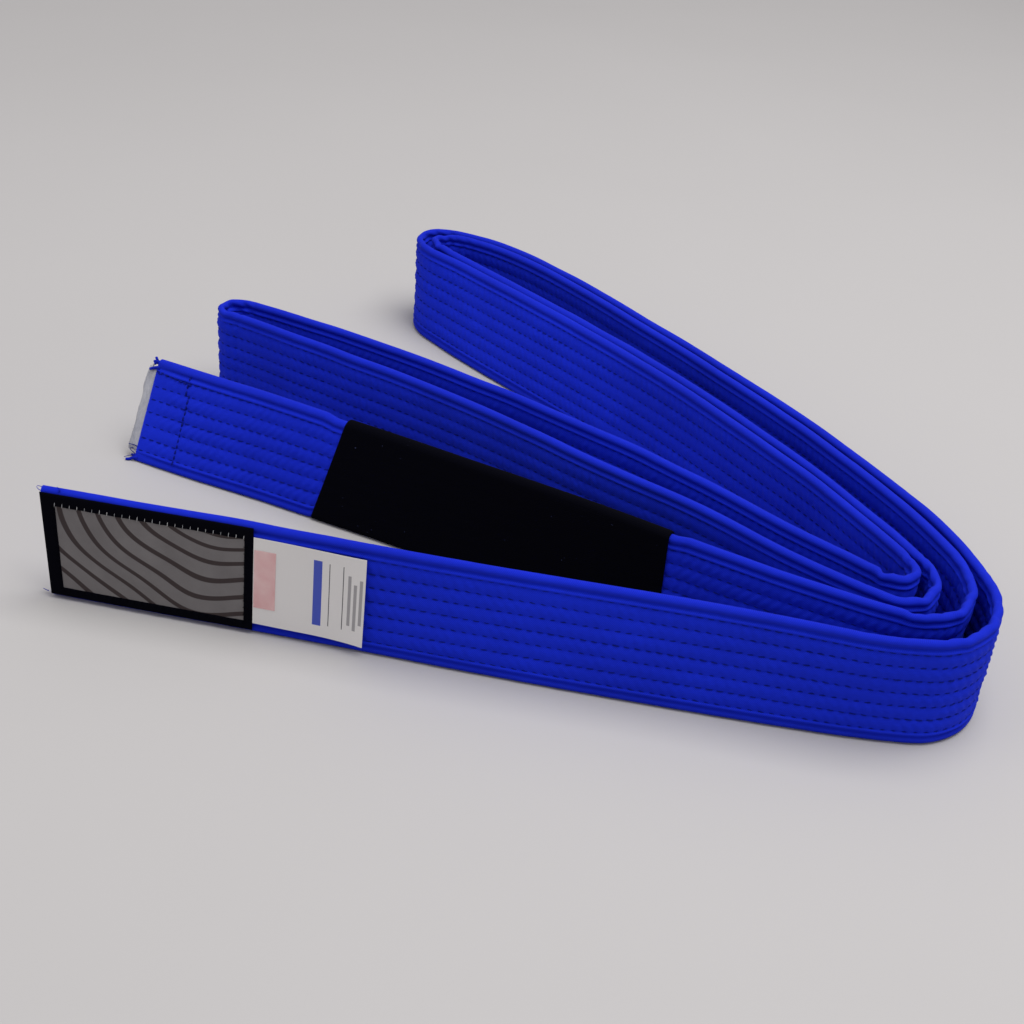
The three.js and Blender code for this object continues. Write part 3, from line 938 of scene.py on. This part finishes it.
# One row of tacking runs from the cross row to the cut, near the upper hem
tack = np.linspace(belt.length - 17, belt.length - 1, 16)
tack_half = half_at(tack, np.full(16, 36.6), 1)
cross_seams.append(seam_along(tack, tack_half + 0.3, np.linspace(36.0, 37.4, 16)))
cross = sew("cross_row", cross_seams, NAVY, 2.2, 1.9, 0.8, 40)
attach(cross, "bar_run")


def loose_threads(name, starts, material, body, seed, reach, radius):
    """Threads that fray out of a cut edge. A start is distance, across, up and its lean."""
    rng = np.random.default_rng(seed)
    parts = []
    for number, (distance, across, up, out, rise) in enumerate(starts):
        steps = []
        bend = rng.uniform(-1, 1, 3)
        for i in range(5):
            t = i / 4
            steps.append(tuple(belt.place(
                distance + out * reach * t,
                across + bend[0] * reach * 0.5 * t * t,
                min(max(up + rise * reach * t + bend[1] * reach * 0.4 * t * t, 0.4), 42.5))))
        parts.append(thread(f"{name}_{number}", steps, radius * MM))
    piece = finish_piece(join(name, parts), material)
    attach(piece, body)
    return piece


def past_raw_end(*starts):
    """Starts measured from the raw end, as loose_threads reads them."""
    return [(belt.length + past, *rest) for past, *rest in starts]


loose_threads("raw_end_threads", past_raw_end(
    (-0.5, 0.8, 40.6, 0.6, 0.2), (-0.5, -0.6, 40.2, 0.9, -0.3), (-0.5, 0.2, 39.5, 0.7, 0.1),
    (-0.3, -0.9, 36.5, 0.8, -0.2), (-0.5, 0.5, 2.2, 0.9, 0.2), (-0.5, -0.5, 1.6, 0.9, 0.0),
    (-0.5, 0.9, 5.5, 0.8, 0.3), (-0.5, -0.9, 3.0, 0.6, 0.5)),
    NAVY, "bar_run", 3, 5.5, 0.2)
loose_threads("raw_end_tufts", past_raw_end(
    (-1, 0.3, 40.2, 0.75, 0.12), (-1, -0.5, 39.0, 0.85, 0.0), (-1, 0.9, 38.6, 0.8, -0.1),
    (-1, 0.4, 1.6, 0.85, 0.1), (-1, -0.7, 2.6, 0.9, 0.2), (-1.5, 1.0, 1.5, 0.9, 0.0),
    (-1.5, -0.9, 39.9, 0.75, 0.0)),
    BLUE, "bar_run", 6, 5.2, 0.85)
loose_threads("padding_fibres", past_raw_end(*(
    (3.4, side / 2, up, 0.7, rise) for side, up, rise in (
        (-1, 8, 0.3), (1, 12, -0.3), (-1, 17, 0.4), (1, 21, 0.1), (-1, 25, -0.4),
        (1, 30, 0.2), (-1, 34, 0.5), (1, 37, -0.1)))),
    PADDING, "bar_run", 8, 2.2, 0.08)
loose_threads("label_end_threads", [
    (0.4, -1.2, 40.4, -0.8, 0.1), (0.4, 0.2, 40.8, -0.5, 0.3), (6.5, -1.4, 40.9, 0.1, 0.6),
    (7.0, -1.0, 41.0, -0.4, 0.5), (0.6, -0.9, 1.2, -0.6, 0.0), (3.5, -2.0, 1.2, -0.3, -0.1)],
    BLUE, "label_run", 4, 3.2, 0.15)


# ---- The rank bar ----

def rank_bar():
    """A black cotton sleeve round the belt, its ends turned in."""
    radius = BAR_EDGE_RADIUS
    straight = np.linspace(radius, BELT_WIDTH - radius, 22)
    arc = np.linspace(0, math.pi, 11)
    section = [(-1.0, u) for u in straight]
    section += [(-math.cos(a), BELT_WIDTH - radius + radius * math.sin(a)) for a in arc[1:-1]]
    section += [(1.0, u) for u in straight[::-1]]
    section += [(math.cos(a), radius - radius * math.sin(a)) for a in arc[1:-1]]
    side, up = np.array(section).T
    rng = np.random.default_rng(12)
    walk = np.linspace(0, 1, 131)
    ripple = 0.10 * smooth_noise(rng, BAR_START + walk * BAR_LENGTH, 9)
    ripple += 0.08 * smooth_noise(rng, BAR_START + walk * BAR_LENGTH, 23)
    rings, along = [], []
    lean_in = (up / BELT_WIDTH - 0.5) * 2

    def ring(share, half, shrink=0.0):
        start = BAR_START + lean_in
        finish = BAR_END - BAR_SLANT * lean_in
        distance = start + (finish - start) * share
        middle = BELT_WIDTH / 2
        heights = middle + (up - middle) * (1 - shrink / middle)
        edge = np.interp(up, [0, 2.5, 4.2, 37.3, 39, 41.5], [0, 0, 1, 1, 0, 0])
        ribs = 0.10 * np.cos(2 * np.pi * (up - EDGE_BAND) / ROW_PITCH) * edge
        rings.append(belt.place(distance, side * (half - ribs * (shrink == 0)), heights))
        along.append(float(BAR_START + share * BAR_LENGTH))

    ring(0, BAR_INSIDE_HALF, 0.75)
    ring(0, 2.25, 0.2)
    for share, swell in zip(walk, ripple):
        ring(0.004 + 0.992 * share, BAR_HALF + swell)
    ring(1, 2.25, 0.2)
    ring(1, BAR_INSIDE_HALF, 0.75)
    around = len(up)
    outer = len(rings)
    for share in (0.98, 0.5, 0.02):
        ring(share, BAR_INSIDE_HALF, 0.75)
    rings.append(rings[0])
    faces = [list(f) for f in tube_faces(len(rings), around)]
    last = (len(rings) - 1) * around
    faces = [[v - last if v >= last else v for v in f] for f in faces]
    steps = np.linalg.norm(np.diff(np.stack([side * 2.4, up]), axis=1), axis=0)
    girth = np.concatenate([[0], np.cumsum(steps), [float(steps.sum()) + 1.8]])
    uvs = tube_uvs(along[:outer] + [BAR_END + 1, BAR_START + 50, BAR_START, BAR_START - 1], girth)
    return new_piece("rank_bar_sleeve", np.concatenate(rings[:-1]), faces, uvs)


bar = finish_piece(rank_bar(), BAR_BLACK)
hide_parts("rank_bar")
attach(bar, "bar_run")


# ---- The label: a tape border round a woven patch ----

def label_border():
    """Black tape sewn round the label, in one closed ring with a rounded face."""
    # How far in across the tape, as a share of its width, and how far it stands out
    profile = [(0.0, 0.05), (0.0, 0.35), (0.08, 0.62), (0.3, 0.74), (0.55, 0.68),
               (0.84, 0.72), (0.96, 0.5), (1.0, 0.05)]
    long_steps, short_steps = 48, 26
    rings = []
    for share, rise in profile:
        left, right = share * BORDER_LEFT, LABEL_LENGTH - share * BORDER_RIGHT
        low, high = LABEL_LOW + share * BORDER_BOTTOM, LABEL_HIGH - share * BORDER_TOP
        a = np.concatenate([
            np.linspace(left, right, long_steps, endpoint=False), np.full(short_steps, right),
            np.linspace(right, left, long_steps, endpoint=False), np.full(short_steps, left)])
        b = np.concatenate([
            np.full(long_steps, low), np.linspace(low, high, short_steps, endpoint=False),
            np.full(long_steps, high), np.linspace(high, low, short_steps, endpoint=False)])
        wave = 0.08 * np.sin(a * 0.8 + b * 0.5) * (rise > 0.4)
        rings.append((a, b, belt.place(end_slant(a, b), -(TRIM_FACE + rise + wave), b)))
    around = 2 * (long_steps + short_steps)
    count = len(rings)
    faces, uvs = [], []
    for i in range(count):
        for j in range(around):
            k, n = (j + 1) % around, (i + 1) % count
            faces.append([i * around + j, i * around + k, n * around + k, n * around + j])
            for ring, p in ((i, j), (i, k), (n, k), (n, j)):
                uvs.append((rings[ring][0][p] * MM, rings[ring][1][p] * MM))
    return new_piece("label_border_tape", np.concatenate([r[2] for r in rings]), faces, uvs)


border = finish_piece(label_border(), BORDER_BLACK)
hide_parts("label_border")
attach(border, "label_run")

face = finish_piece(ribbon(
    "label_patch",
    lambda a, b: end_slant(
        BORDER_LEFT - 0.7 + a * (LABEL_LENGTH - BORDER_LEFT - BORDER_RIGHT + 1.4), b * BELT_WIDTH),
    lambda a, b: TRIM_FACE + 0.02 + 0 * a,
    lambda a, b: TRIM_FACE + 0.34 + 0.10 * np.sin(np.pi * a) * np.sin(np.pi * b)
    + 0.03 * np.sin(9 * a + 5 * b),
    lambda a, b: LABEL_LOW + BORDER_BOTTOM - 0.6
    + b * (LABEL_HIGH - LABEL_LOW - BORDER_TOP - BORDER_BOTTOM + 1.2), 48, 26),
    GREY)
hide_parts("label_face")
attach(face, "label_run")

# Whip stitches lie across the inner edge of the tape
inner_low, inner_high = LABEL_LOW + BORDER_BOTTOM, LABEL_HIGH - BORDER_TOP
inner_left, inner_right = BORDER_LEFT, LABEL_LENGTH - BORDER_RIGHT


def whip_seam(a0, a1, b0, b1, lie):
    a, b = np.linspace(a0, a1, 40), np.linspace(b0, b1, 40)
    return belt.place(end_slant(a, b), -(TRIM_FACE + 0.74), b), np.tile(lie, (40, 1))


top_whip = whip_seam(inner_left, inner_right, inner_high + 0.9, inner_high + 0.9, (0.1, 0.08, 1))
other_whips = [
    whip_seam(inner_right, inner_left, inner_low - 0.6, inner_low - 0.6, (0.1, 0.08, 1)),
    whip_seam(inner_right + 0.6, inner_right + 0.6, inner_low, inner_high, (1, 0, 0.1)),
    whip_seam(inner_left - 0.8, inner_left - 0.8, inner_high, inner_low, (1, 0, 0.1))]
white_whip = sew("label_whip_stitches", [top_whip], WHITE_THREAD, 2.6, 1.7, 0.24, 21)
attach(white_whip, "label_run")
dark_whip = sew("label_dark_stitches", other_whips, BORDER_BLACK, 2.5, 1.6, 0.34, 22)
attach(dark_whip, "label_run")


# ---- The care tag and its sticker ----

def tag_lift(a, b):
    """How far the tag stands off the belt: its free lower corner curls away."""
    curl = 1.9 * np.clip(a - 0.45, 0, 1) ** 2 * (1 - b) ** 1.5 / 0.3
    return 0.42 + curl + 0.12 * np.sin(5 * a + 3 * b)


tag = finish_piece(ribbon(
    "care_tag_cloth",
    lambda a, b: TAG_START + a * TAG_LENGTH,
    lambda a, b: TRIM_FACE - 0.05 + tag_lift(a, b),
    lambda a, b: TRIM_FACE + 0.13 + tag_lift(a, b),
    lambda a, b: TAG_LOW - 0.4 * a + b * (TAG_HIGH - TAG_LOW), 40, 30),
    TAG_WHITE)
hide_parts("care_tag")
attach(tag, "care_tag")

STICKER = (0.3, 7.6, 11.0, 33.0)


def on_tag(a, b, stand):
    across = (STICKER[0] + a * STICKER[1]) / TAG_LENGTH
    up = (STICKER[2] + b * (STICKER[3] - STICKER[2]) - TAG_LOW) / (TAG_HIGH - TAG_LOW)
    return TRIM_FACE + stand + tag_lift(across, up)


sticker = finish_piece(ribbon(
    "size_sticker_film",
    lambda a, b: TAG_START + STICKER[0] + a * STICKER[1],
    lambda a, b: on_tag(a, b, 0.22),
    lambda a, b: on_tag(a, b, 0.30),
    lambda a, b: STICKER[2] + b * (STICKER[3] - STICKER[2]), 12, 20),
    PINK)
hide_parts("size_sticker")
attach(sticker, "care_tag")


# ======== Floor, light and camera ========

floor = new_piece("floor", np.array([(-6, -6, 0), (6, -6, 0), (6, 6, 0), (-6, 6, 0)]) - (0, 0, 0.0002),
                  [[0, 1, 2, 3]], smooth=False)
floor.data.materials.append(pale_floor())

world = bpy.data.worlds.new("studio")
bpy.context.scene.world = world
world.use_nodes = True
world.node_tree.nodes["Background"].inputs["Color"].default_value = (1.0, 0.985, 0.985, 1)
world.node_tree.nodes["Background"].inputs["Strength"].default_value = 0.56


def softbox(name, place, target, size, power, colour=(1, 1, 1)):
    light = bpy.data.lights.new(name, "AREA")
    light.shape = "RECTANGLE"
    light.size, light.size_y = size
    light.energy = power
    light.color = colour
    lamp = bpy.data.objects.new(name, light)
    bpy.context.scene.collection.objects.link(lamp)
    aim = Vector(target) - Vector(place)
    lamp.matrix_world = Matrix.Translation(place) @ aim.to_track_quat("-Z", "Y").to_matrix().to_4x4()


softbox("overhead softbox", (0.4, -0.02, 1.4), (0, 0.05, 0), (1.2, 1.0), 20.0)
softbox("left fill", (-1.4, -0.5, 1.2), (0, 0, 0), (1.0, 0.8), 3.0)

CAMERA_PLACE = Vector((72.5, -553.6, 320.0)) * MM
CAMERA_YAW, CAMERA_PITCH, CAMERA_ROLL = (math.radians(v) for v in (9, 31.4, 5))
SENSOR_WIDTH = 36
# Focal length as a share of the frame's width
FOCAL_SHARE = 1570 / 1024
level = Vector((-math.sin(CAMERA_YAW), math.cos(CAMERA_YAW), 0))
forward = level * math.cos(CAMERA_PITCH) - Vector((0, 0, math.sin(CAMERA_PITCH)))
right = forward.cross(Vector((0, 0, 1))).normalized()
upward = right.cross(forward)
rolled_right = right * math.cos(CAMERA_ROLL) + upward * math.sin(CAMERA_ROLL)
rolled_up = upward * math.cos(CAMERA_ROLL) - right * math.sin(CAMERA_ROLL)
turned = Matrix((rolled_right, rolled_up, -forward)).transposed().to_4x4()
camera = bpy.data.objects.new("camera", bpy.data.cameras.new("camera"))
camera.data.sensor_width = SENSOR_WIDTH
camera.data.lens = SENSOR_WIDTH * FOCAL_SHARE
camera.data.clip_end = 30
camera.matrix_world = Matrix.Translation(CAMERA_PLACE) @ turned
bpy.context.scene.collection.objects.link(camera)
bpy.context.scene.camera = camera
bpy.context.scene.view_settings.view_transform = "Standard"
